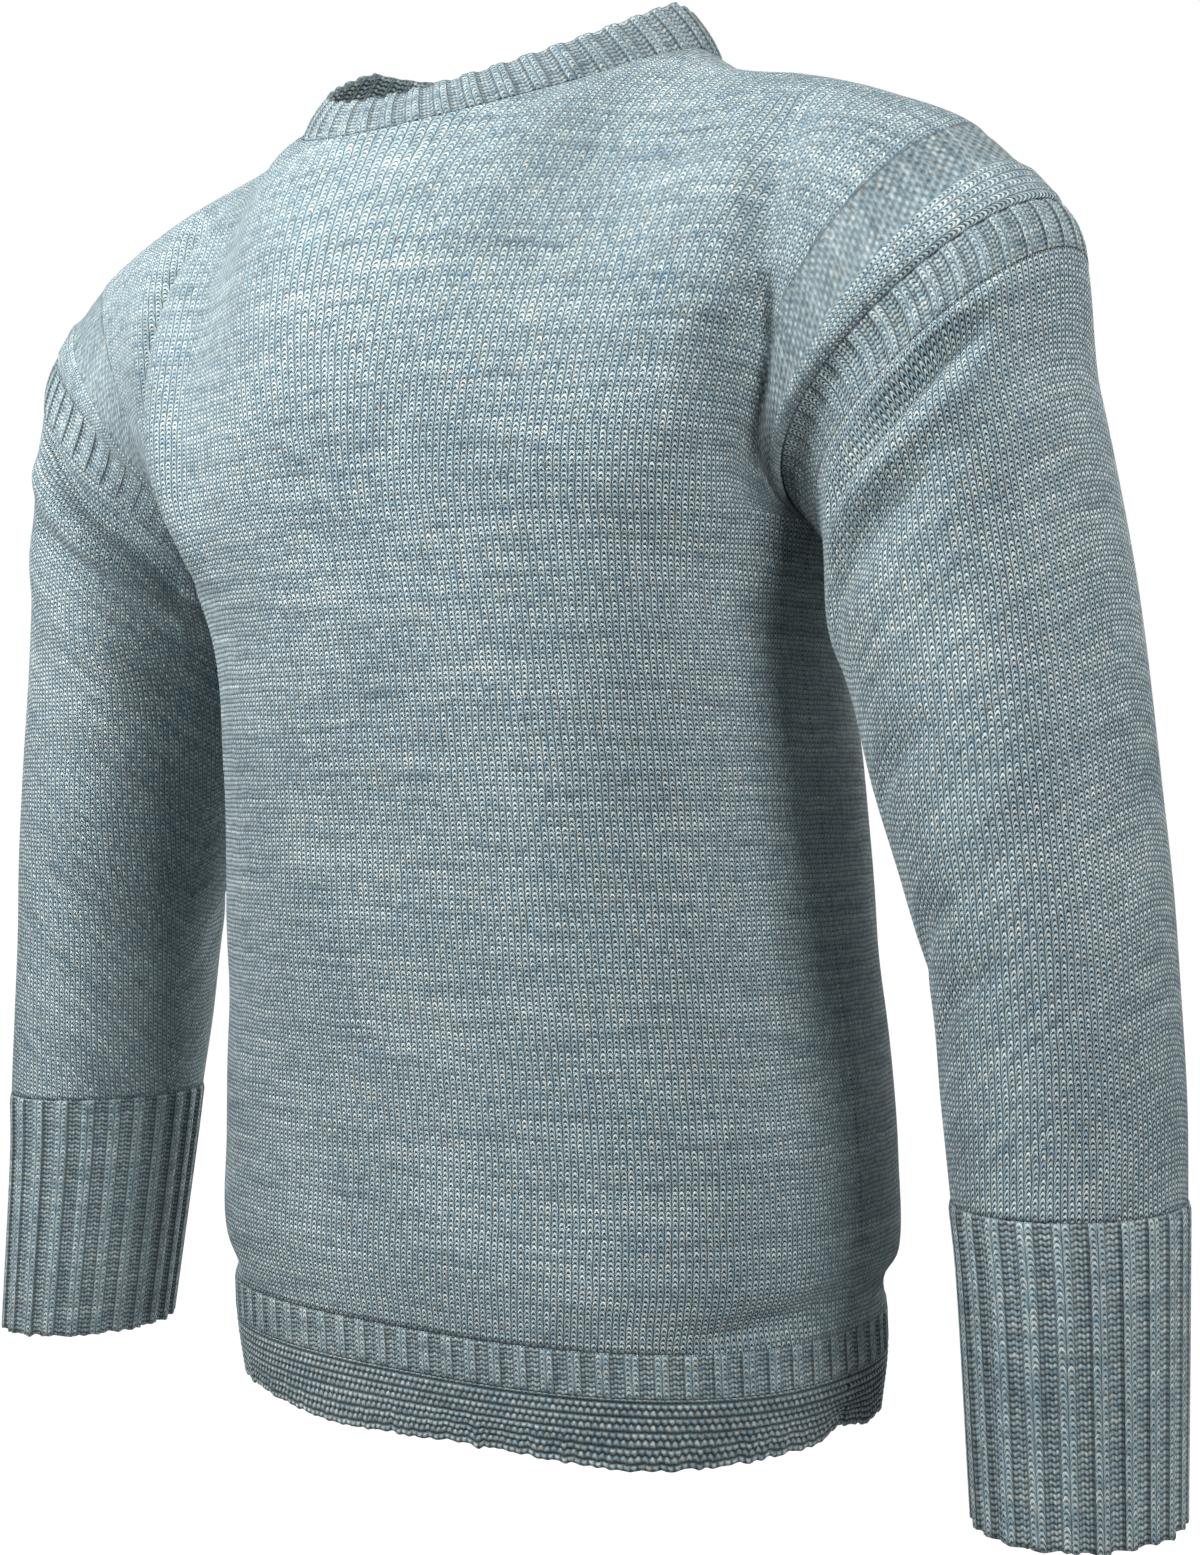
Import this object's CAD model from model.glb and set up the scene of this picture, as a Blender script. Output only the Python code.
"""A guernsey fisherman's sweater in blue-grey wool, filled out as it is worn.

The script follows the knitting: the body, the hem below it, the neckband, then each
sleeve with its ribbed head and long cuff. A floor, lights and a camera come last.
Metres, +Z up, the front facing -Y and the wearer's left on +X.
"""

from collections import namedtuple
from math import pi, radians

import bpy
import numpy as np
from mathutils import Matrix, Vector


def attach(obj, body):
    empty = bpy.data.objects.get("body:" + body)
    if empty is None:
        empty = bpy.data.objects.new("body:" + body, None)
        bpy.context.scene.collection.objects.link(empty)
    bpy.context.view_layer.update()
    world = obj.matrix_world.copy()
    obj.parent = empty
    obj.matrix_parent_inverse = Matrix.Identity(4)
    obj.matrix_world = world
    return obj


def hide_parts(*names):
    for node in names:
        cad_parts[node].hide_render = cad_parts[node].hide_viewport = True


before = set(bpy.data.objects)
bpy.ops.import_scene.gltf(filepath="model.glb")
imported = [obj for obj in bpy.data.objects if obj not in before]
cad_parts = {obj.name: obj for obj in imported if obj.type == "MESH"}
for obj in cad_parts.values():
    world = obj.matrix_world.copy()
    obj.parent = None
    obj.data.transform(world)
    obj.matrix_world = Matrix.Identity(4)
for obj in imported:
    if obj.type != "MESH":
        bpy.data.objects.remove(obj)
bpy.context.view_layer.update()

# ---------------------------------------------------------------------------
# Body, front and back
# Five-ply worsted wool in stockinette, knitted in one tube to the underarms and then
# as a front and a back. Both follow the chest and turn over the shoulders. A strip of
# plain columns and a band of moss stitch are knitted in along each armhole.
# ---------------------------------------------------------------------------

STITCH_WIDTH = 0.0036
ROW_HEIGHT = 0.00239
PANEL_STITCHES = 145
HALF_PANEL = PANEL_STITCHES / 2 * STITCH_WIDTH
MORE_AT_SIDES = 0.10
CLOTH_WALL = 0.0022

Level = namedtuple("Level", "height half_width front back sideways")
TRUNK = (
    Level(-0.683, 0.180, -0.080, 0.166, 0.000),
    Level(-0.650, 0.184, -0.084, 0.168, 0.000),
    Level(-0.628, 0.184, -0.086, 0.168, 0.000),
    Level(-0.600, 0.190, -0.090, 0.173, 0.000),
    Level(-0.553, 0.190, -0.089, 0.172, 0.000),
    Level(-0.440, 0.179, -0.101, 0.171, 0.001),
    Level(-0.353, 0.171, -0.114, 0.162, 0.005),
    Level(-0.275, 0.171, -0.126, 0.144, 0.006),
    Level(-0.233, 0.188, -0.131, 0.134, 0.000),
)
SQUARENESS = 2.5
OUTLINE_STEPS = 400
RIB_TOP = -0.628
UNDERARM = -0.233

Ridge = namedtuple("Ridge", "across height back")
SHOULDER_RIDGE = (
    Ridge(0.116, 0.009, 0.014),
    Ridge(0.142, -0.008, 0.012),
    Ridge(0.180, -0.017, 0.008),
    Ridge(0.232, -0.036, 0.003),
    Ridge(0.282, -0.063, -0.003),
    Ridge(0.318, -0.100, -0.006),
)
NECK_SHARE = 0.38
NeckRing = namedtuple("NeckRing", "half_width front back centre front_drop back_rise side_rise")
NECK_BASE = NeckRing(0.116, 0.112, 0.086, 0.014, 0.0460, 0.003, 0.009)

# How the cloth leaves the underarm level and arrives at the top: lengths are in metres.
NECK_DIP_POWER = 1.1
CHEST_RISE = 0.22
NECKLINE_LEAN = radians(35)
RIDGE_LEAN = radians(90)
OVER_SHOULDER = 0.21
ARMHOLE_START = np.array((-0.030, 0.290, 0.080))
ARMHOLE_END = np.array((0.000, 0.200, 0.000))
ARMHOLE_TURN_FROM = 0.70


def ease(value):
    """0 below 0, 1 above 1, and a smooth step between."""
    value = np.clip(value, 0.0, 1.0)
    return value * value * (3 - 2 * value)


def bend_between(start, leave, end, arrive, share):
    """A cubic from start to end with the directions it leaves and arrives in."""
    square, cube = share ** 2, share ** 3
    return (
        (2 * cube - 3 * square + 1) * start + (cube - 2 * square + share) * leave
        + (3 * square - 2 * cube) * end + (cube - square) * arrive
    )


def smooth_rows(rows, places):
    """Every column of a table at places between its rows, on one smooth curve."""
    table = np.array(rows, dtype=float)
    knots = table[:, 0]
    slopes = np.gradient(table, knots, axis=0)
    places = np.asarray(places, dtype=float)
    index = np.clip(np.searchsorted(knots, places) - 1, 0, len(knots) - 2)
    span = (knots[index + 1] - knots[index])[..., None]
    share = (places - knots[index])[..., None] / span
    leave, arrive = slopes[index] * span, slopes[index + 1] * span
    return bend_between(table[index], leave, table[index + 1], arrive, share)


def trunk_cloth(face, heights, columns):
    """The front (face -1) or back (face 1) below the underarm, a grid of points."""
    grid = np.zeros((len(heights), len(columns), 3))
    turn = np.linspace(0, pi / 2, OUTLINE_STEPS)
    for row, level in enumerate(smooth_rows(TRUNK, heights)):
        level = Level(*level)
        depth = (level.back - level.front) / 2
        across = level.half_width * np.sin(turn) ** (2 / SQUARENESS)
        out = depth * np.abs(np.cos(turn)) ** (2 / SQUARENESS)
        length = np.concatenate(([0.0], np.cumsum(np.hypot(np.diff(across), np.diff(out)))))
        wanted = np.abs(columns) * length[-1]
        grid[row, :, 0] = level.sideways + np.sign(columns) * np.interp(wanted, length, across)
        grid[row, :, 1] = (level.front + level.back) / 2 + face * np.interp(wanted, length, out)
        grid[row, :, 2] = heights[row]
    return grid


def neck_line(ring, angles):
    """A ring of the neck: angle 0 is the middle of the front, pi that of the back."""
    before = np.cos(angles) > 0
    depth = np.where(before, ring.front, ring.back)
    dip = np.where(before, -ring.front_drop, ring.back_rise)
    return np.stack((
        ring.half_width * np.sin(angles),
        ring.centre - depth * np.cos(angles),
        ring.side_rise + dip * np.abs(np.cos(angles)) ** NECK_DIP_POWER,
    ), axis=-1)


def top_of_columns(face, columns):
    """Where the columns of stitches end: on the neckline or on the shoulder ridge."""
    share = np.minimum(np.abs(columns) / NECK_SHARE, 1)
    neck = neck_line(NECK_BASE, share * pi / 2 if face < 0 else pi - share * pi / 2)
    along = np.maximum(np.abs(columns) - NECK_SHARE, 0) / (1 - NECK_SHARE)
    inner, outer = SHOULDER_RIDGE[0].across, SHOULDER_RIDGE[-1].across
    across = inner + along * (outer - inner)
    ridge = smooth_rows(SHOULDER_RIDGE, across)[:, [0, 2, 1]]
    top = np.where((np.abs(columns) <= NECK_SHARE)[:, None], neck, ridge)
    top[:, 0] *= np.where(columns < 0, -1, 1)
    return top


def yoke_cloth(face, rises, columns):
    """The cloth between the underarm level (rise 0) and the neck or shoulder (rise 1)."""
    side = np.sign(columns)[:, None]
    step = 0.002
    start, below = trunk_cloth(face, (UNDERARM, UNDERARM - step), columns)
    leave = (start - below) / step * CHEST_RISE
    lean = NECKLINE_LEAN + ease(np.abs(columns) / NECK_SHARE) * (RIDGE_LEAN - NECKLINE_LEAN)
    arrive = np.stack((0 * lean, -face * np.sin(lean), np.cos(lean)), axis=-1) * OVER_SHOULDER
    turn = ease((np.abs(columns) - ARMHOLE_TURN_FROM) / (1 - ARMHOLE_TURN_FROM))[:, None]
    edge_leave = ARMHOLE_START * np.concatenate((side, face + 0 * side, 1 + 0 * side), axis=1)
    edge_arrive = ARMHOLE_END * np.concatenate((side, -face + 0 * side, 1 + 0 * side), axis=1)
    leave = leave + turn * (edge_leave - leave)
    arrive = arrive + turn * (edge_arrive - arrive)
    share = np.asarray(rises)[:, None, None]
    return bend_between(start, leave, top_of_columns(face, columns), arrive, share)


def outward_of(points, turn, closed=False):
    """The direction out of the cloth at each point of a grid."""
    upward = np.gradient(points, axis=0)
    if closed:
        around = np.roll(points, -1, axis=1) - np.roll(points, 1, axis=1)
    else:
        around = np.gradient(points, axis=1)
    normal = np.cross(around, upward) * turn
    return normal / np.linalg.norm(normal, axis=-1, keepdims=True)


def length_up(points):
    """How far up its column of stitches each point of a grid is."""
    steps = np.linalg.norm(np.diff(points, axis=0), axis=2)
    return np.vstack((np.zeros(points.shape[1]), np.cumsum(steps, axis=0)))


# A crease runs from one place of the cloth to another, both in metres across and up it,
# and may bow to one side. Its depth is below zero for a trough and above for a ridge.
Crease = namedtuple("Crease", "across up to_across to_up bow width depth")


def creased(across, up, creases):
    """How far a set of creases moves the cloth in or out at each point of a grid."""
    relief = np.zeros_like(up)
    for crease in creases:
        run, climb = crease.to_across - crease.across, crease.to_up - crease.up
        length = np.hypot(run, climb)
        along = ((across - crease.across) * run + (up - crease.up) * climb) / length ** 2
        aside = ((up - crease.up) * run - (across - crease.across) * climb) / length
        inside = np.clip(along, 0, 1)
        aside = aside - crease.bow * 4 * inside * (1 - inside)
        past_end = (along - inside) * length
        fade = np.sin(pi * np.clip(along * 0.8 + 0.1, 0, 1)) ** 0.5
        reach = np.exp(-(aside / crease.width) ** 2 - (past_end / crease.width / 1.5) ** 2)
        relief += crease.depth * reach * fade
    return relief


def knitted_piece(name, points, stitches, material, turn=1, closed=False, band=None):
    """Makes one thin piece of knitting from a grid of points.

    stitches holds the number of stitches across and of rows up at each point, which the
    wool's material reads from the UV map of that name, and band does the same for the
    plain strip and the moss stitch beside an armhole.
    """
    rows, columns = points.shape[:2]
    if closed:
        points = np.concatenate((points, points[:, :1]), axis=1)
    grid = np.arange(rows * columns).reshape(rows, columns)
    if closed:
        grid = np.concatenate((grid, grid[:, :1]), axis=1)
    wide = grid.shape[1]
    corners = np.stack((grid[:-1, :-1], grid[:-1, 1:], grid[1:, 1:], grid[1:, :-1]), axis=-1)
    place = np.arange(rows * wide).reshape(rows, wide)
    places = np.stack((place[:-1, :-1], place[:-1, 1:], place[1:, 1:], place[1:, :-1]), axis=-1)
    if turn < 0:
        corners, places = corners[..., ::-1], places[..., ::-1]
    corners, places = corners.reshape(-1, 4), places.reshape(-1)
    mesh = bpy.data.meshes.new(name)
    mesh.from_pydata(points[:, :columns].reshape(-1, 3).tolist(), [], corners.tolist())
    for layer, values in (("stitches", stitches), ("armhole", band)):
        if values is not None:
            flat = values.reshape(-1, 2)[places]
            mesh.uv_layers.new(name=layer).data.foreach_set("uv", flat.astype(np.float32).ravel())
    mesh.materials.append(material)
    mesh.shade_smooth()
    mesh.update()
    piece = bpy.data.objects.new(name, mesh)
    bpy.context.scene.collection.objects.link(piece)
    wall = piece.modifiers.new("wall", "SOLIDIFY")
    wall.thickness = CLOTH_WALL
    wall.offset = -1
    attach(piece, "root")
    return piece


class Shade:
    """A value, colour or vector in a material's nodes, which can be used in sums."""

    def __init__(self, tree, socket=None):
        self.tree = tree
        self.socket = socket

    def node(self, kind, settings=None, inputs=None, output=0):
        """Adds a node: its settings first, and then the values or links of its sockets."""
        made = self.tree.nodes.new(kind)
        for name, setting in (settings or {}).items():
            if name == "stops":
                ramp = made.color_ramp
                while len(ramp.elements) < len(setting):
                    ramp.elements.new(0.5)
                for element, (place, colour) in zip(ramp.elements, setting):
                    element.position = place
                    element.color = (*colour, 1.0)
            else:
                setattr(made, name, setting)
        for name, value in (inputs or {}).items():
            if isinstance(value, Shade):
                self.tree.links.new(value.socket, made.inputs[name])
            else:
                made.inputs[name].default_value = value
        return Shade(self.tree, made.outputs[output])

    def sum(self, operation, *values):
        return self.node("ShaderNodeMath", {"operation": operation}, dict(enumerate(values)))

    def __add__(self, other):
        return self.sum("ADD", self, other)

    def __sub__(self, other):
        return self.sum("SUBTRACT", self, other)

    def __rsub__(self, other):
        return self.sum("SUBTRACT", other, self)

    def __mul__(self, other):
        return self.sum("MULTIPLY", self, other)

    def __truediv__(self, other):
        return self.sum("DIVIDE", self, other)

    def __pow__(self, other):
        return self.sum("POWER", self, other)

    def __gt__(self, other):
        return self.sum("GREATER_THAN", self, other)

    def __lt__(self, other):
        return self.sum("LESS_THAN", self, other)

    __radd__ = __add__
    __rmul__ = __mul__

    def wave(self):
        return self.sum("SINE", self * (2 * pi))

    def whole(self):
        return self.sum("FLOOR", self)

    def part(self):
        return self.sum("FRACT", self)

    def size(self):
        return self.sum("ABSOLUTE", self)

    def between(self, low, high):
        """0 below low and 1 above high, with a smooth step."""
        inputs = {"Value": self, "From Min": low, "From Max": high}
        return self.node("ShaderNodeMapRange", {"interpolation_type": "SMOOTHSTEP"}, inputs)

    def mixed(self, share, other):
        """This value where share is 0 and the other one where it is 1."""
        return self * (1 - share) + other * share

    def vector(self, x, y, z):
        return self.node("ShaderNodeCombineXYZ", None, {0: x, 1: y, 2: z})

    def chance(self, x, y, z=0.0):
        """An even random number for each whole x, y and z."""
        settings = {"noise_dimensions": "3D"}
        return self.node("ShaderNodeTexWhiteNoise", settings, {"Vector": self.vector(x, y, z)})

    def clouds(self, vector, scale, detail=2.0):
        inputs = {"Vector": vector, "Scale": scale, "Detail": detail, "Roughness": 0.55}
        return self.node("ShaderNodeTexNoise", None, inputs)

    def tinted(self, share, other, blend="MIX"):
        """This colour mixed with another by a share."""
        settings = {"data_type": "RGBA", "blend_type": blend}
        return self.node("ShaderNodeMix", settings, {0: share, 6: self, 7: other}, 2)

    def uv(self, name):
        """The two numbers of a UV map."""
        place = self.node("ShaderNodeUVMap", {"uv_map": name})
        first = self.node("ShaderNodeSeparateXYZ", None, {0: place})
        return first, Shade(self.tree, first.socket.node.outputs[1])


LEG_DROP = 1.25


def stockinette(across, up):
    """Plain knitting: its height from 0 to 1, and the row that each strand is in.

    The two legs of a stitch fall away from the middle of its column, round one strand,
    and sink where they pass behind the stitch below.
    """
    away = (across.part() - 0.5).size() * 2
    row = up + away ** 2.2 * LEG_DROP
    strand = (row.part() * 0.5).wave()
    hollow = 1 - (1 - away).between(0.42, 0.90) * (1 - strand).between(0.25, 0.80)
    beside = 1 - away.between(0.76, 1.0) * 0.85
    return hollow * beside * (0.36 + 0.64 * strand ** 0.8), row.whole()


def reverse_stitches(across, up):
    """The purl side of knitting: low bumps in rows, which lock together like waves."""
    row = up + across.wave() * 0.14
    bump = (row.part() * 0.5).wave()
    return (0.22 + 0.60 * bump) * (0.80 + 0.20 * (across * 2).wave()), row.whole()


def moss_stitches(across, up, openness):
    """Moss stitch: a chequer of bumps, with small slanting holes where it is stretched."""
    slant = across + up * 0.30
    lattice = (slant * 0.5).wave() * (up / 2.2).wave()
    strand = (up.part() * 0.5).wave()
    bumps = 0.36 + 0.12 * lattice
    holes = openness * (1 - lattice.between(-1.0, -0.25))
    return bumps * (0.65 + 0.35 * strand) * (1 - holes), up.whole()


# The yarn is spun from fleeces dyed in three shades, with a few cream and blue hairs.
WOOL_DEEP = (0.085, 0.140, 0.175)
WOOL_MID = (0.350, 0.462, 0.492)
WOOL_PALE = (0.770, 0.850, 0.850)
FLECK_CREAM = (0.720, 0.640, 0.470)
FLECK_BLUE = (0.090, 0.260, 0.400)


def dyed_wool(tree, across, height, row, depth_of_shade, full=1.0):
    """The heathered colour of the yarn: it drifts along each row, strand by strand.

    depth_of_shade is how far the hollows darken, and full is how much light the strands
    give back: less where the knitting is packed.
    """
    nodes = Shade(tree)
    place = nodes.node("ShaderNodeTexCoord", None, None, 3)
    yarn = nodes.clouds(nodes.vector(across * 0.055, row * 5.37, 0.0), 1.0, 3.0)
    strand = nodes.chance((across * 2).whole(), row)
    lot = nodes.clouds(place, 11.0, 3.0)
    fibre = nodes.clouds(place, 2200.0, 2.0)
    along_yarn = (yarn - 0.5) * 0.80 + (strand - 0.5) * 0.26
    tone = 0.46 + along_yarn + (lot - 0.5) * 0.35 + (fibre - 0.5) * 0.6
    stops = ((0.10, WOOL_DEEP), (0.50, WOOL_MID), (0.92, WOOL_PALE))
    colour = nodes.node("ShaderNodeValToRGB", {"stops": stops}, {0: tone})
    fleck = nodes.chance((across * 2).whole(), row, 7.0)
    colour = colour.tinted(fleck.between(0.88, 1.0) * 0.32, (*FLECK_CREAM, 1.0))
    colour = colour.tinted(fleck.between(0.12, 0.0) * 0.50, (*FLECK_BLUE, 1.0))
    shadow = (full * (1 - depth_of_shade)) + full * depth_of_shade * height.between(0.10, 0.75)
    dark = nodes.node("ShaderNodeCombineColor", None, {0: shadow, 1: shadow, 2: shadow})
    return colour.tinted(1.0, dark, "MULTIPLY"), fibre


def finish_wool(material, colour, height, fibre, relief):
    """Joins the colour and the height of the stitches to a matt, slightly hairy surface.

    relief is the height of a stitch in metres.
    """
    tree = material.node_tree
    nodes = Shade(tree)
    bumpy = height + (fibre - 0.5) * 0.25
    normal = nodes.node("ShaderNodeBump", None, {"Strength": 1.0, "Distance": relief, "Height": bumpy})
    surface = tree.nodes["Principled BSDF"]
    surface.inputs["Roughness"].default_value = 0.9
    surface.inputs["Specular IOR Level"].default_value = 0.25
    surface.inputs["Sheen Weight"].default_value = 0.18
    surface.inputs["Sheen Roughness"].default_value = 0.5
    surface.inputs["Sheen Tint"].default_value = (0.85, 0.93, 1.0, 1.0)
    tree.links.new(colour.socket, surface.inputs["Base Color"])
    tree.links.new(normal.socket, surface.inputs["Normal"])


def loose_gauge(nodes, across, up):
    """Hand knitting is never quite even: its stitches wander a little."""
    wander = nodes.vector(across * 0.13, up * 0.10, 0.0)
    sideways = (nodes.clouds(wander, 1.0, 3.0) - 0.5) * 0.7
    upward = (nodes.clouds(wander, 1.3, 3.0) - 0.5) * 1.2
    return across + sideways, up + upward


STRIP_COLUMNS = 6
MOSS_COLUMNS = 11
STITCH_RELIEF = 0.0022


def body_wool():
    """Stockinette with the moss band and the plain strip beside each armhole."""
    material = bpy.data.materials.new("body_wool")
    material.use_nodes = True
    nodes = Shade(material.node_tree)
    across, up = loose_gauge(nodes, *nodes.uv("stitches"))
    plain, plain_row = stockinette(across, up)
    band, in_yoke = nodes.uv("armhole")
    strip, strip_row = stockinette(band * STRIP_COLUMNS, up)
    stretched = in_yoke.between(0.50, 0.90)
    moss, moss_row = moss_stitches(band * MOSS_COLUMNS, up, stretched)
    is_strip = (band < 1.0) * (in_yoke > 0.0)
    is_moss = (band > 1.0) * (band < 2.0) * (in_yoke > 0.0)
    height = plain.mixed(is_moss, moss).mixed(is_strip, strip)
    row = plain_row.mixed(is_moss, moss_row + 0.37).mixed(is_strip, strip_row)
    ditch = 1 - ((band - 2.0).size() < 0.035) * in_yoke.between(0.25, 0.60) * 0.6
    depth_of_shade = 0.96 - in_yoke.between(0.0, 0.5) * 0.22
    colour, fibre = dyed_wool(material.node_tree, across, height * ditch, row, depth_of_shade)
    finish_wool(material, colour, height * ditch, fibre, STITCH_RELIEF)
    return material


# Creases of the front: the chest hangs in a soft fold in front of each armhole, the
# side draws in below the arm, and the body rolls over the rib at the hem.
FRONT_CREASES = (
    Crease(0.172, 0.600, 0.204, 0.490, -0.003, 0.009, -0.0075),
    Crease(0.200, 0.505, 0.231, 0.436, 0.003, 0.008, -0.0080),
    Crease(0.150, 0.560, 0.178, 0.440, 0.004, 0.022, 0.0050),
    Crease(0.190, 0.480, 0.226, 0.385, 0.005, 0.020, -0.0090),
    Crease(-0.122, 0.580, -0.122, 0.395, -0.012, 0.017, 0.0115),
    Crease(-0.152, 0.595, -0.156, 0.400, -0.014, 0.013, -0.0170),
    Crease(-0.172, 0.470, -0.166, 0.400, -0.002, 0.010, -0.0060),
    Crease(0.120, 0.400, 0.215, 0.372, -0.006, 0.020, -0.0028),
    Crease(0.130, 0.352, 0.220, 0.330, -0.004, 0.016, 0.0020),
    Crease(-0.120, 0.410, -0.220, 0.380, 0.005, 0.018, -0.0025),
    Crease(0.258, 0.024, 0.165, 0.006, 0.002, 0.009, -0.0050),
    Crease(-0.258, 0.020, -0.150, 0.006, -0.002, 0.009, -0.0040),
    Crease(-0.060, 0.250, 0.070, 0.215, 0.010, 0.030, -0.0015),
    Crease(0.080, 0.150, 0.210, 0.120, 0.006, 0.024, -0.0015),
    Crease(-0.200, 0.170, -0.060, 0.130, -0.006, 0.026, -0.0015),
)
BACK_CREASES = (
    Crease(0.190, 0.560, 0.212, 0.430, 0.004, 0.014, -0.0045),
    Crease(-0.192, 0.570, -0.208, 0.440, -0.003, 0.015, -0.0045),
    Crease(-0.110, 0.380, 0.120, 0.350, 0.012, 0.024, -0.0030),
    Crease(-0.150, 0.300, 0.060, 0.265, -0.010, 0.022, -0.0028),
    Crease(-0.030, 0.210, 0.180, 0.180, 0.010, 0.026, -0.0024),
    Crease(-0.200, 0.130, -0.020, 0.105, 0.006, 0.022, -0.0022),
    Crease(0.258, 0.026, 0.150, 0.008, 0.002, 0.009, -0.0045),
    Crease(-0.256, 0.022, -0.140, 0.006, -0.002, 0.009, -0.0045),
)

# Where the plain strip and the moss stitch begin, as a share of the way from the middle
# of a panel to its side: both are widest at the shoulder.
STRIP_BELOW = 0.962
STRIP_ABOVE = 0.942
MOSS_BELOW = 0.800
MOSS_ABOVE = 0.872
STRIP_RISE = 0.0018
MOSS_SINK = 0.0010
BODY_COLUMNS = 177
TRUNK_ROWS = 124
YOKE_ROWS = 92
SOFT_REACH = 24
SOFT_WIDTH = 9.0


def softened_across(points):
    """A grid of points evened out along its rows, so that the yoke has no hard edge."""
    padding = ((0, 0), (SOFT_REACH, SOFT_REACH), (0, 0))
    padded = np.pad(points, padding, "reflect", reflect_type="odd")
    weights = np.exp(-(np.arange(-SOFT_REACH, SOFT_REACH + 1) / SOFT_WIDTH) ** 2)
    weights = weights / weights.sum()
    return np.stack([
        np.stack([np.convolve(row[:, axis], weights, "valid") for axis in range(3)], axis=-1)
        for row in padded
    ])


def body_half(face):
    """Points of the front or the back, with its stitches and the bands at its armholes."""
    columns = np.linspace(-1, 1, BODY_COLUMNS)
    rises = np.linspace(0, 1, YOKE_ROWS + 1)[1:]
    lower = trunk_cloth(face, np.linspace(RIB_TOP, UNDERARM, TRUNK_ROWS), columns)
    upper = yoke_cloth(face, rises, columns)
    away_from_ends = (ease((1 - rises) / 0.12) * ease(rises / 0.2))[:, None]
    soften = away_from_ends * ease((1 - np.abs(columns)) / 0.25)
    upper = upper + soften[..., None] * (softened_across(upper) - upper)
    points = np.concatenate((lower, upper))
    up = length_up(points)
    across = np.broadcast_to(columns * HALF_PANEL, up.shape)
    share_up = np.concatenate((np.zeros(TRUNK_ROWS), rises))[:, None]
    column = np.broadcast_to(np.abs(columns), up.shape)
    strip_from = STRIP_BELOW + (STRIP_ABOVE - STRIP_BELOW) * ease(share_up)
    moss_from = MOSS_BELOW + (MOSS_ABOVE - MOSS_BELOW) * ease(share_up)
    widened = 0.02 + 0.98 * ease((share_up - 0.04) / 0.30)
    moss_from = strip_from - (strip_from - moss_from) * widened
    in_strip = (1 - column) / (1 - strip_from)
    in_moss = (strip_from - column) / (strip_from - moss_from)
    band = np.where(column > strip_from, in_strip, 1 + in_moss)
    edge = np.minimum(1, (1 - column) / 0.02 + (share_up <= 0))
    relief = creased(across, up, FRONT_CREASES if face < 0 else BACK_CREASES)
    relief *= ease((1 - share_up) / 0.06) * edge * ease(up / 0.006)
    strip = ease((1 - band) / 0.2) * ease(band / 0.2)
    moss = ease((2 - band) / 0.15) * ease((band - 1) / 0.15)
    relief += (strip * STRIP_RISE - moss * MOSS_SINK) * ease(share_up / 0.12)
    points = points + outward_of(points, -face) * relief[..., None]
    counted = across * (1 + MORE_AT_SIDES * column ** 2)
    stitches = np.stack((counted / STITCH_WIDTH, up / ROW_HEIGHT), axis=-1)
    in_yoke = np.broadcast_to(share_up - 0.02, up.shape)
    return points, stitches, np.stack((band, in_yoke), axis=-1)


body_material = body_wool()
for name, face, cut in (("front", -1, 0.343), ("back", 1, 0.349)):
    points, stitches, band = body_half(face)
    panel = knitted_piece("knitted_" + name, points, stitches, body_material, -face, band=band)
    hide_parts("body_" + name)

# ---------------------------------------------------------------------------
# Hem: a narrow rib and two garter welts
# The rib is worked in twos over the whole tube and draws the body in a little. Below
# it hang two welts in garter stitch, front and back, left open where they meet.
# ---------------------------------------------------------------------------

WELT_BOTTOM = -0.683
RIB_BOTTOM = -0.650
RIB_STITCHES = 4
VENT_SHARE = 0.003
RIB_RELIEF = 0.0020
HEM_RIB_DEPTH = 0.0016
GARTER_ROW = 0.00175
GARTER_DEPTH = 0.0010
WELT_DROOP = 0.0010
CORNER_LIFT = 0.006


def rib_profile(stitches):
    """The outline of a rib in twos: 1 on the plain columns and 0 between them."""
    wave = np.sin(stitches / RIB_STITCHES * 2 * pi) + 0.12
    return 0.5 + 0.5 * wave / np.sqrt(wave ** 2 + 0.10) * np.sqrt(1.10)


def rib_wool(name, full=0.84, sunk=0.95, fades=False):
    """Two plain columns and two reverse columns, in turn.

    sunk is the height of the reverse ones, and fades is for a rib that dies away.
    """
    material = bpy.data.materials.new(name)
    material.use_nodes = True
    nodes = Shade(material.node_tree)
    across, up = nodes.uv("stitches")
    rib = (across / RIB_STITCHES).wave()
    on_rib = rib.between(-0.25, 0.25)
    plain, plain_row = stockinette(across, up)
    purl, purl_row = reverse_stitches(across, up)
    height = (purl * sunk).mixed(on_rib, 0.25 + plain * 0.75)
    if fades:
        height = plain.mixed(nodes.uv("armhole")[0], height)
    row = purl_row.mixed(on_rib, plain_row)
    between_ribs = 1 - rib.size().between(0.55, 0.05) * 0.38
    colour, fibre = dyed_wool(material.node_tree, across, height * between_ribs, row, 0.86, full)
    finish_wool(material, colour, height, fibre, RIB_RELIEF)
    return material


def garter_wool():
    """Ridges of garter stitch: every second row stands out as a row of little bumps."""
    material = bpy.data.materials.new("garter_wool")
    material.use_nodes = True
    nodes = Shade(material.node_tree)
    across, up = nodes.uv("stitches")
    row = up * 0.5 + across.wave() * 0.10
    ridge = (row.part() * 0.5).wave()
    bead = 0.65 + 0.35 * (across + row.whole() * 0.5).wave()
    height = ridge ** 0.8 * bead
    colour, fibre = dyed_wool(material.node_tree, across, height, row.whole(), 0.86, 0.72)
    finish_wool(material, colour, height, fibre, RIB_RELIEF)
    return material


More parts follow.
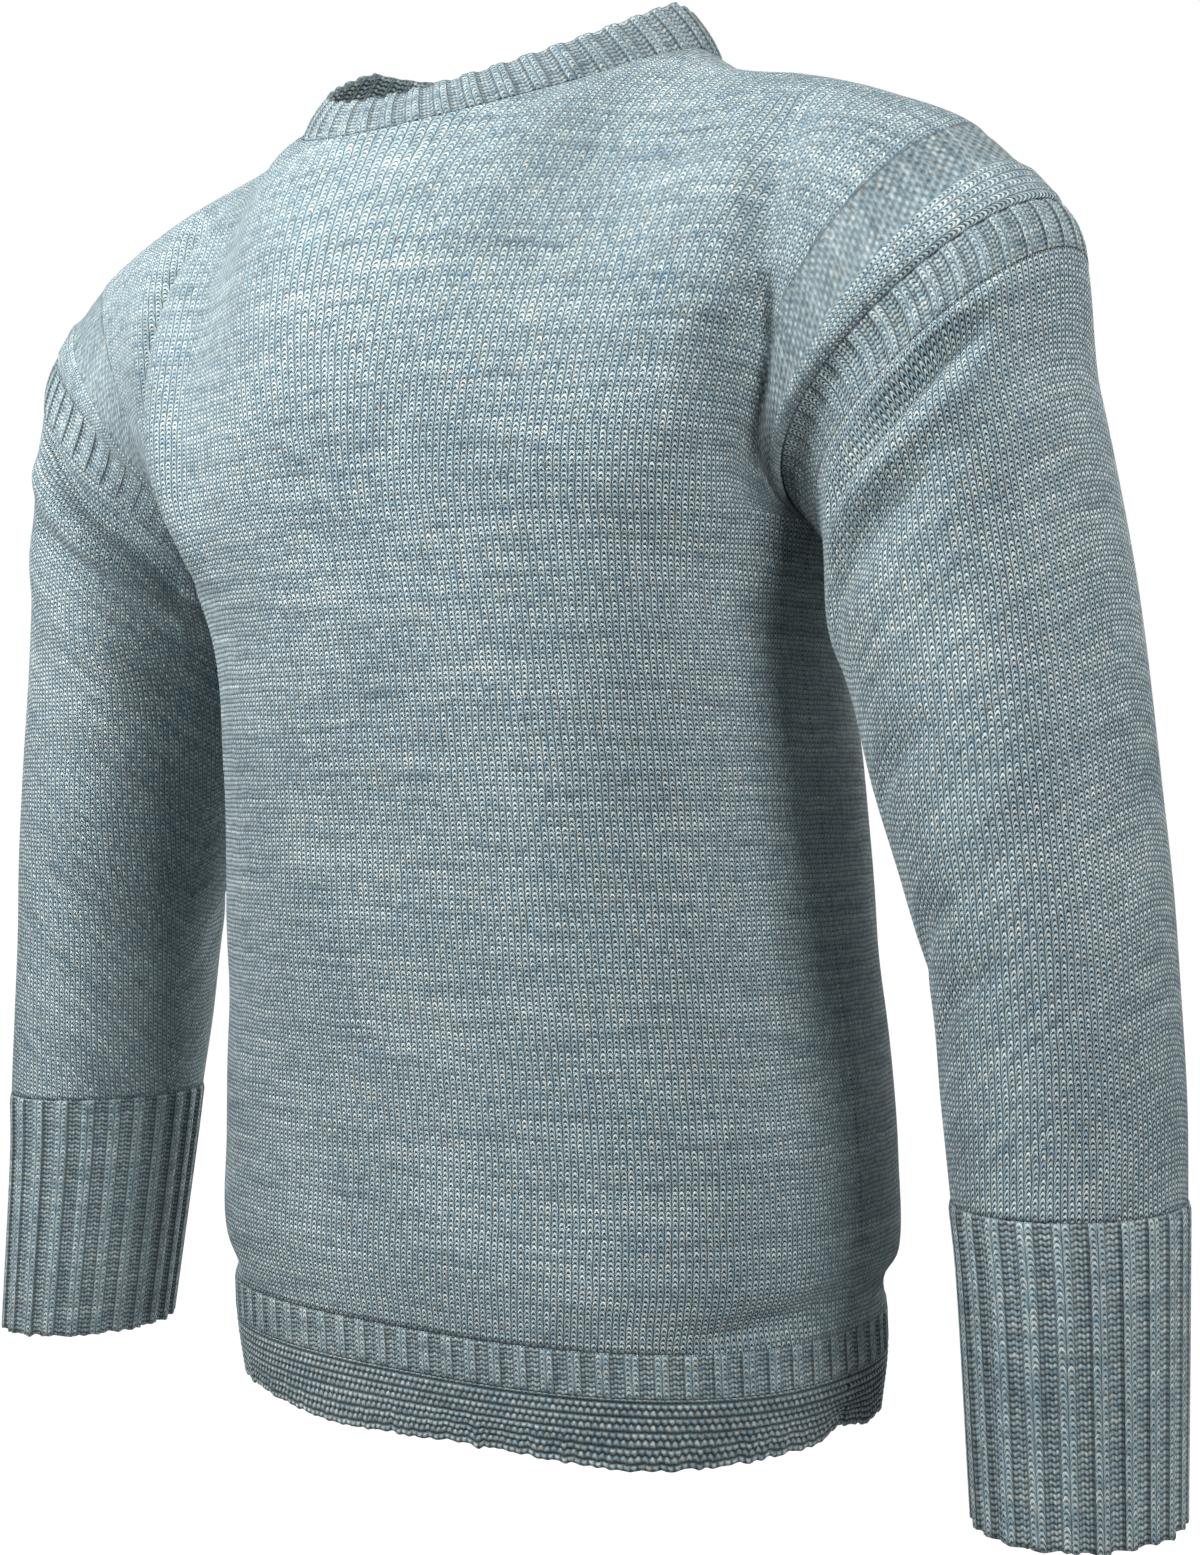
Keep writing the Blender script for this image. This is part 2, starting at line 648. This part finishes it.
hem_material = rib_wool("hem_rib_wool")
welt_material = garter_wool()
uneven = np.random.default_rng(7)
for name, face in (("front", -1), ("back", 1)):
    columns = np.linspace(-1, 1, 561)
    heights = np.linspace(RIB_BOTTOM, RIB_TOP, 9)
    points = trunk_cloth(face, heights, columns)
    across = np.broadcast_to(columns * PANEL_STITCHES / 2, points.shape[:2])
    up = (points[..., 2] - RIB_BOTTOM) / ROW_HEIGHT
    away_from_ends = ease(up / 1.5) * ease((9.2 - up) / 1.5)
    rib = (rib_profile(across) - 0.6) * HEM_RIB_DEPTH * away_from_ends
    points = points + outward_of(points, -face) * rib[..., None]
    stitches = np.stack((across, up), axis=-1)
    hem = knitted_piece("ribbed_hem_" + name, points, stitches, hem_material, -face)
    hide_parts("hem_rib_" + name)

    columns = np.linspace(-1, 1, 421) * (1 - VENT_SHARE)
    heights = np.linspace(WELT_BOTTOM, RIB_BOTTOM, 43)
    points = trunk_cloth(face, heights, columns)
    across = np.broadcast_to(columns * PANEL_STITCHES / 2, points.shape[:2])
    up = (points[..., 2] - WELT_BOTTOM) / GARTER_ROW
    ridges = (np.abs(np.sin(up * pi / 2)) - 0.5) * GARTER_DEPTH
    points = points + outward_of(points, -face) * ridges[..., None]
    droop = uneven.normal(0, 1, len(columns))
    droop = np.convolve(droop, np.hanning(7) / 3, "same") * WELT_DROOP
    corner = CORNER_LIFT * (1 - ease((1 - np.abs(columns)) / 0.10))
    droop = droop + 0.0020 * np.sin(columns * 9) + corner
    points[..., 2] += droop * (1 - ease(up / 14))
    stitches = np.stack((across, up), axis=-1)
    welt = knitted_piece("garter_welt_" + name, points, stitches, welt_material, -face)
    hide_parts("welt_" + name)

# ---------------------------------------------------------------------------
# Neckband
# A low band of rib in twos, picked up all round the neckline and cast off loosely. It
# dips at the front, stands against the neck, and its ribs lean a little.
# ---------------------------------------------------------------------------

NECK_RIM = NeckRing(0.101, 0.098, 0.078, 0.012, 0.0510, 0.003, 0.034)
NECKBAND_RIBS = 44
NECKBAND_ROWS = 11
NECKBAND_SWELL = 0.0012
NECKBAND_RIB_DEPTH = 0.0016
STITCHES_OF_LEAN = 1.6
count = NECKBAND_RIBS * 14
angles = np.linspace(0, 2 * pi, count, endpoint=False)
base, rim = neck_line(NECK_BASE, angles), neck_line(NECK_RIM, angles)
share = np.linspace(0, 1, NECKBAND_ROWS)[:, None, None]
points = base + share * (rim - base)
outward = outward_of(points, 1, closed=True)
swell = np.sin(pi * share) * NECKBAND_SWELL
turns = np.linspace(0, 2 * pi, count + 1) / (2 * pi) * NECKBAND_RIBS * RIB_STITCHES
lean = share[..., 0] * STITCHES_OF_LEAN
ribs = (rib_profile(turns[:-1] + lean) - 0.5)[..., None] * NECKBAND_RIB_DEPTH
points = points + outward * (swell + ribs * ease((share + 0.02) / 0.15))
up = np.broadcast_to(share[..., 0] * NECKBAND_ROWS, (NECKBAND_ROWS, len(turns)))
stitches = np.stack((turns + lean, up), axis=-1)
neck_material = rib_wool("neckband_wool", 0.78, 1.0)
neckband = knitted_piece("ribbed_neckband", points, stitches, neck_material, 1, closed=True)
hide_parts("neckband")

# ---------------------------------------------------------------------------
# Sleeves, each with a ribbed head and a long ribbed cuff
# Stitches are picked up round the armhole and worked down: a band of rib in twos, the
# plain sleeve, which narrows along its inner side, and the cuff, again in twos.
# ---------------------------------------------------------------------------

SleeveRing = namedtuple("SleeveRing", "station across back height sideways fore tilt")
SLEEVE = (
    SleeveRing(0.00, 0.2680, 0.002, -0.222, 0.0745, 0.074, 37),
    SleeveRing(0.15, 0.2715, 0.008, -0.261, 0.0720, 0.077, 27),
    SleeveRing(0.29, 0.2810, 0.012, -0.308, 0.0655, 0.076, 13),
    SleeveRing(0.39, 0.2900, 0.012, -0.358, 0.0625, 0.073, 4),
    SleeveRing(0.49, 0.3000, 0.013, -0.405, 0.0580, 0.070, 0),
    SleeveRing(0.59, 0.3080, 0.014, -0.450, 0.0530, 0.067, 0),
    SleeveRing(0.71, 0.3130, 0.013, -0.503, 0.0520, 0.0645, 0),
    SleeveRing(0.81, 0.3165, 0.011, -0.545, 0.0500, 0.0620, 0),
    SleeveRing(0.90, 0.3190, 0.010, -0.583, 0.0480, 0.0595, 0),
    SleeveRing(1.00, 0.3250, 0.003, -0.684, 0.0445, 0.0545, 0),
)
SLEEVE_STITCH = 0.0031
SLEEVE_HEAD_REACH = 0.026
SLEEVE_HEAD_ROWS = 11
SLEEVE_HEAD_RIB_DEPTH = 0.0020
SLEEVE_COLUMNS = 140
SLEEVE_TOP_ROWS = 22
SLEEVE_ROWS = 119
CUFF_ROWS = 60
CUFF_RIB_DEPTH = 0.0024
CUFF_ROW_HEIGHT = 0.0026
CUFF_DROOP = 0.0008
CUFF_STATION = 0.81
UNDERARM_FOLD = np.array((0.70, 0.00, -0.71))
UNDERARM_SHARE = 0.35
SLEEVE_HEAD_RIBS = 38
CUFF_RIBS = 23


def unit(vectors):
    return vectors / np.linalg.norm(vectors, axis=-1, keepdims=True)


def across_line(vectors, line):
    """The part of each vector that is square to a line."""
    line = unit(line)
    return vectors - line * np.sum(vectors * line, axis=-1, keepdims=True)


def sleeve_rings(side, stations, angles):
    """Whole rings of a sleeve: angle 0 is next to the body and pi / 2 is in front."""
    rings = smooth_rows(SLEEVE, stations)
    across, back, height, sideways, fore = (rings[..., [column]] for column in range(1, 6))
    tilt = np.radians(rings[..., [6]])
    outward = np.concatenate((side * np.cos(tilt), 0 * tilt, np.sin(tilt)), axis=-1)
    centre = np.concatenate((side * across, back, height), axis=-1)
    turn = np.broadcast_to(angles, np.shape(stations))[..., None]
    forward = np.array((0.0, -1.0, 0.0))
    return centre - sideways * np.cos(turn) * outward + fore * np.sin(turn) * forward


def armhole_line(side, angles):
    """The edge of the armhole, and the way the cloth runs off it into the sleeve."""
    edge = np.zeros((len(angles), 3))
    outward = np.zeros((len(angles), 3))
    step = 0.004
    for place, angle in enumerate(angles):
        face = -1 if angle <= pi else 1
        rise = angle / pi if angle <= pi else 2 - angle / pi
        rises = (max(rise - step, 0), rise, rise + step)
        near = yoke_cloth(face, rises, np.array((side * (1 - step), side)))
        edge[place] = near[1, 1]
        along = near[2, 1] - near[0, 1]
        run_off = unit(across_line(near[1, 1] - near[1, 0], along))
        fold = UNDERARM_FOLD * np.array((side, 1, 1))
        run_off = run_off + (1 - ease(rise / UNDERARM_SHARE)) * (fold - run_off)
        outward[place] = unit(across_line(run_off, along))
    return edge, outward


def end_of_head(side, angles):
    """The station at each angle where the band at the sleeve's head ends."""
    edge = armhole_line(side, angles)[0]
    first_ring = sleeve_rings(side, np.zeros(len(angles)), angles)
    return SLEEVE_HEAD_REACH / np.linalg.norm(first_ring - edge, axis=-1) - 1


def length_round(points):
    """How far round its ring each point of a closed grid is, and the whole way round."""
    steps = np.linalg.norm(np.roll(points, -1, axis=1) - points, axis=2)
    return np.concatenate((np.zeros((len(points), 1)), np.cumsum(steps, axis=1)), axis=1)


def sleeve_cloth(side, stations, angles):
    """A sleeve's cloth: the armhole is at station -1, and the first whole ring at 0."""
    edge, outward = armhole_line(side, angles)
    zero = np.zeros(len(angles))
    end = sleeve_rings(side, zero, angles)
    beyond = sleeve_rings(side, zero + 0.01, angles)
    reach = np.linalg.norm(end - edge, axis=-1, keepdims=True)
    upper = bend_between(edge, outward * reach, end, unit(beyond - end) * reach, stations[..., None] + 1)
    lower = sleeve_rings(side, np.maximum(stations, 0), angles)
    return np.where(stations[..., None] < 0, upper, lower)


# Creases of a sleeve, in metres round from the outermost line, towards the front if
# above zero, and down from the armhole. The cloth bunches below the band in front, folds
# at the armpit and inside the elbow, and is nearly smooth outside.
LEFT_CREASES = (
    Crease(0.050, -0.033, 0.125, -0.034, 0.001, 0.006, 0.0050),
    Crease(0.068, -0.044, 0.158, -0.050, 0.002, 0.010, -0.0130),
    Crease(0.072, -0.068, 0.158, -0.074, 0.003, 0.011, 0.0060),
    Crease(0.100, -0.094, 0.164, -0.094, 0.003, 0.012, -0.0060),
    Crease(0.030, -0.090, 0.110, -0.104, -0.003, 0.020, 0.0020),
    Crease(0.108, -0.188, 0.150, -0.180, 0.003, 0.008, -0.0040),
    Crease(0.112, -0.256, 0.158, -0.246, 0.003, 0.008, -0.0040),
    Crease(0.092, -0.298, 0.128, -0.290, 0.003, 0.007, -0.0040),
    Crease(0.060, -0.225, 0.130, -0.240, -0.004, 0.016, 0.0020),
    Crease(-0.060, -0.060, -0.140, -0.050, -0.004, 0.010, -0.0050),
    Crease(-0.080, -0.110, -0.160, -0.092, -0.004, 0.012, -0.0035),
    Crease(-0.100, -0.250, -0.160, -0.232, -0.003, 0.012, -0.0030),
)
RIGHT_CREASES = (
    Crease(0.060, -0.034, 0.200, -0.036, -0.005, 0.007, -0.0120),
    Crease(0.075, -0.056, 0.185, -0.052, -0.003, 0.009, 0.0060),
    Crease(0.100, -0.078, 0.190, -0.062, -0.002, 0.008, -0.0075),
    Crease(0.040, -0.100, 0.150, -0.116, -0.003, 0.016, 0.0025),
    Crease(0.110, -0.190, 0.165, -0.178, 0.003, 0.011, -0.0030),
    Crease(0.100, -0.270, 0.160, -0.252, 0.003, 0.011, -0.0030),
    Crease(-0.060, -0.056, -0.145, -0.048, -0.004, 0.010, -0.0050),
    Crease(-0.090, -0.112, -0.160, -0.096, -0.004, 0.012, -0.0035),
    Crease(-0.100, -0.262, -0.160, -0.246, -0.003, 0.012, -0.0030),
)


def sleeve_wool():
    """Plain stockinette all over."""
    material = bpy.data.materials.new("sleeve_wool")
    material.use_nodes = True
    nodes = Shade(material.node_tree)
    across, up = loose_gauge(nodes, *nodes.uv("stitches"))
    height, row = stockinette(across, up)
    colour, fibre = dyed_wool(material.node_tree, across, height, row, 0.95)
    finish_wool(material, colour, height, fibre, STITCH_RELIEF)
    return material


sleeve_material = sleeve_wool()
head_material = rib_wool("sleeve_head_wool", 0.84, 1.05, fades=True)
cuff_material = rib_wool("cuff_wool")

for name, side, creases in (("left", 1, LEFT_CREASES), ("right", -1, RIGHT_CREASES)):
    # the band at the head
    count = SLEEVE_HEAD_RIBS * 14
    angles = np.linspace(0, 2 * pi, count, endpoint=False)
    share = np.linspace(0, 1, SLEEVE_HEAD_ROWS)[:, None]
    points = sleeve_cloth(side, share * (end_of_head(side, angles) + 1) - 1, angles)
    turns = np.linspace(0, 1, count + 1) * SLEEVE_HEAD_RIBS * RIB_STITCHES
    shown = ease((np.minimum(angles, 2 * pi - angles) - 0.8) / 0.9)
    away_from_ends = ease((share + 0.1) / 0.3) * ease((1.1 - share) / 0.3)
    ribs = (rib_profile(turns[:-1]) - 0.5) * SLEEVE_HEAD_RIB_DEPTH * away_from_ends
    ribs = ribs * (0.15 + 0.85 * shown)
    points = points + outward_of(points, -side, closed=True) * ribs[..., None]
    up = np.broadcast_to(-share * SLEEVE_HEAD_ROWS, (SLEEVE_HEAD_ROWS, count + 1))
    stitches = np.stack((np.broadcast_to(turns, up.shape), up), axis=-1)
    shown = np.broadcast_to(np.append(shown, shown[0]), up.shape)
    fading = np.stack((shown, shown), axis=-1)
    piece = "ribbed_head_" + name
    head = knitted_piece(piece, points, stitches, head_material, -side, closed=True, band=fading)
    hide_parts("sleeve_head_" + name)

    # the plain sleeve
    count = SLEEVE_COLUMNS
    angles = np.linspace(0, 2 * pi, count, endpoint=False)
    upper = end_of_head(side, angles) * np.linspace(1, 0, SLEEVE_TOP_ROWS)[:, None]
    stations = np.linspace(0, CUFF_STATION, SLEEVE_ROWS + 1)[1:, None]
    lower = np.broadcast_to(stations, (SLEEVE_ROWS, count))
    points = sleeve_cloth(side, np.concatenate((upper, lower)), angles)
    down = length_up(points) + SLEEVE_HEAD_REACH
    round_to = length_round(points)
    across = -(round_to - round_to[:, [count // 2]])
    relief = creased(across[:, :-1], -down, creases)
    below_head = ease((down - SLEEVE_HEAD_REACH) / 0.004)
    fade = below_head * ease((down.max(axis=0) - down) / 0.010)
    points = points + outward_of(points, -side, closed=True) * (relief * fade)[..., None]
    down = np.concatenate((down, down[:, :1]), axis=1)
    stitches = np.stack((across / SLEEVE_STITCH, -down / ROW_HEIGHT), axis=-1)
    piece = "plain_sleeve_" + name
    sleeve = knitted_piece(piece, points, stitches, sleeve_material, -side, closed=True)
    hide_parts("sleeve_" + name)

    # the cuff
    count = CUFF_RIBS * 16
    angles = np.linspace(0, 2 * pi, count, endpoint=False)
    stations = np.linspace(CUFF_STATION, 1, CUFF_ROWS)[:, None]
    points = sleeve_cloth(side, np.broadcast_to(stations, (CUFF_ROWS, count)), angles)
    down = length_up(points)
    round_to = length_round(points)
    turns = round_to / round_to[:, -1:] * CUFF_RIBS * RIB_STITCHES
    ribs = (rib_profile(turns[:, :-1]) - 0.45) * CUFF_RIB_DEPTH * ease((down + 0.002) / 0.006)
    points = points + outward_of(points, -side, closed=True) * ribs[..., None]
    droop = uneven.normal(0, 1, count)
    droop = np.convolve(droop, np.hanning(7) / 3, "same") * CUFF_DROOP
    points[..., 2] += droop * ease((down - 0.120) / 0.020)
    down = np.concatenate((down, down[:, :1]), axis=1)
    stitches = np.stack((turns, -down / CUFF_ROW_HEIGHT), axis=-1)
    piece = "ribbed_cuff_" + name
    cuff = knitted_piece(piece, points, stitches, cuff_material, -side, closed=True)
    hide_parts("cuff_" + name)

# ---------------------------------------------------------------------------
# Floor, lights and camera
# A plain pale floor well below the hem, in a pale room. A small soft light stands close
# in front of the chest, with others at both sides, above and behind.
# ---------------------------------------------------------------------------

FLOOR_HEIGHT = -1.25
FLOOR_GREY = 0.40
SEEN_BRIGHT = 0.88
ROOM_GLOW = 0.12

bpy.ops.mesh.primitive_plane_add(size=40, location=(0, 0, FLOOR_HEIGHT))
floor = bpy.context.active_object
floor.name = "pale_floor"
floor_paint = bpy.data.materials.new("pale_floor_paint")
floor_paint.use_nodes = True
matt = floor_paint.node_tree.nodes["Principled BSDF"]
matt.inputs["Base Color"].default_value = (FLOOR_GREY, FLOOR_GREY, FLOOR_GREY, 1.0)
matt.inputs["Roughness"].default_value = 0.9
paint = Shade(floor_paint.node_tree)
seen = paint.node("ShaderNodeLightPath") * SEEN_BRIGHT
bright = paint.node("ShaderNodeEmission", None, {"Strength": 1.15})
grey = Shade(paint.tree, matt.outputs[0])
covered = paint.node("ShaderNodeMixShader", None, {0: seen, 1: grey, 2: bright})
floor_end = floor_paint.node_tree.nodes["Material Output"]
floor_paint.node_tree.links.new(covered.socket, floor_end.inputs["Surface"])
floor.data.materials.append(floor_paint)


def soft_light(name, place, aim, width, power):
    """A round lamp of a width in metres and a power in watts, turned towards its aim."""
    lamp = bpy.data.lights.new(name, "AREA")
    lamp.shape = "DISK"
    lamp.size = width
    lamp.energy = power
    light = bpy.data.objects.new(name, lamp)
    light.location = place
    light.rotation_mode = "QUATERNION"
    away = Vector(aim) - Vector(place)
    light.rotation_quaternion = away.to_track_quat("-Z", "Y")
    bpy.context.scene.collection.objects.link(light)


soft_light("key_light", (-0.26, -0.72, 0.24), (0.0, -0.10, 0.24), 0.5, 9.2)
soft_light("side_light", (1.55, -0.80, 0.48), (0.2, 0.0, 0.15), 0.6, 42)
soft_light("far_light", (-1.05, -1.10, 0.40), (-0.4, 0.0, 0.10), 0.6, 35)
soft_light("top_light", (0.60, 0.90, 1.40), (0.1, 0.0, -0.20), 0.9, 9)
soft_light("back_light", (-0.30, 1.60, 0.20), (0.0, 0.1, -0.30), 1.0, 34)

room = bpy.data.worlds.new("pale_room")
room.use_nodes = True
bpy.context.scene.world = room
air = Shade(room.node_tree)
glow = ROOM_GLOW + air.node("ShaderNodeLightPath") * (1 - ROOM_GLOW)
backdrop = room.node_tree.nodes["Background"]
backdrop.inputs["Color"].default_value = (1.0, 1.0, 1.0, 1.0)
room.node_tree.links.new(glow.socket, backdrop.inputs["Strength"])

camera_data = bpy.data.cameras.new("camera")
camera_data.sensor_width = 36
camera_data.lens = 54.73
camera_data.shift_y = -0.0039
camera = bpy.data.objects.new("camera", camera_data)
camera.location = (0.777, -0.969, -0.353)
camera.rotation_euler = (radians(90), 0, radians(36.4))
bpy.context.scene.collection.objects.link(camera)
bpy.context.scene.camera = camera

bpy.context.scene.view_settings.view_transform = "Standard"
